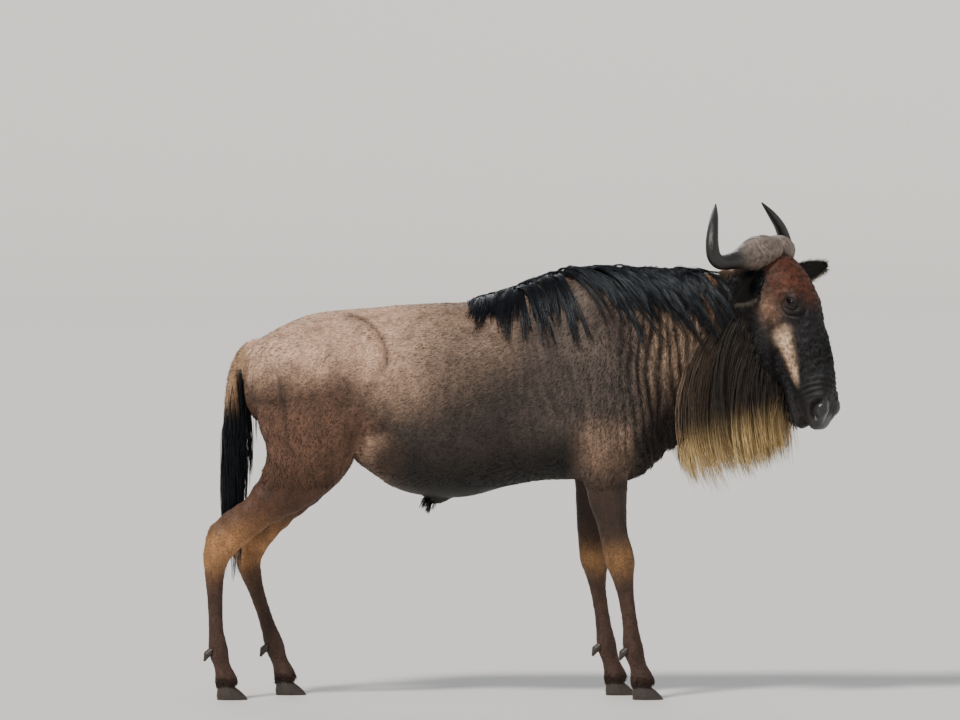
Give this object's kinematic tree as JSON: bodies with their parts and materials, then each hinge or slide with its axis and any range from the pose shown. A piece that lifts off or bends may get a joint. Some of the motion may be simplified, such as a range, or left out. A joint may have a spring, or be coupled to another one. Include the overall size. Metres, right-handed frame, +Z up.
{
  "type": "wildebeest",
  "caption": "Life-size standing wildebeest bull with curved horns, black mane and tail, pale beard, and its head turned to its right.",
  "frame": {"origin": "floor level under the middle of the outline", "axes": "+X towards the head, +Y towards the animal's left, +Z up"},
  "size_m": [1.9056, 0.5119, 1.4862],
  "materials": {
    "coat": "short sleek hair",
    "face": "short sleek hair",
    "horn": "satin horn",
    "hoof": "dull horn",
    "eye": "wet gloss"
  },
  "bodies": {
    "root": {"torso": "coat", "neck": "coat", "head": "face", "tail": "coat", "ear_left": "coat", "ear_right": "coat", "eye_left": "eye", "eye_right": "eye", "horn_left": "horn", "horn_right": "horn", "foreleg_left": "coat", "foreleg_right": "coat", "hindleg_left": "coat", "hindleg_right": "coat", "hoof_fore_left_inner": "hoof", "hoof_fore_left_outer": "hoof", "hoof_fore_right_inner": "hoof", "hoof_fore_right_outer": "hoof", "hoof_hind_left_inner": "hoof", "hoof_hind_left_outer": "hoof", "hoof_hind_right_inner": "hoof", "hoof_hind_right_outer": "hoof", "dewclaw_fore_left_inner": "hoof", "dewclaw_fore_left_outer": "hoof", "dewclaw_fore_right_inner": "hoof", "dewclaw_fore_right_outer": "hoof", "dewclaw_hind_left_inner": "hoof", "dewclaw_hind_left_outer": "hoof", "dewclaw_hind_right_inner": "hoof", "dewclaw_hind_right_outer": "hoof"}
  },
  "joints": []
}
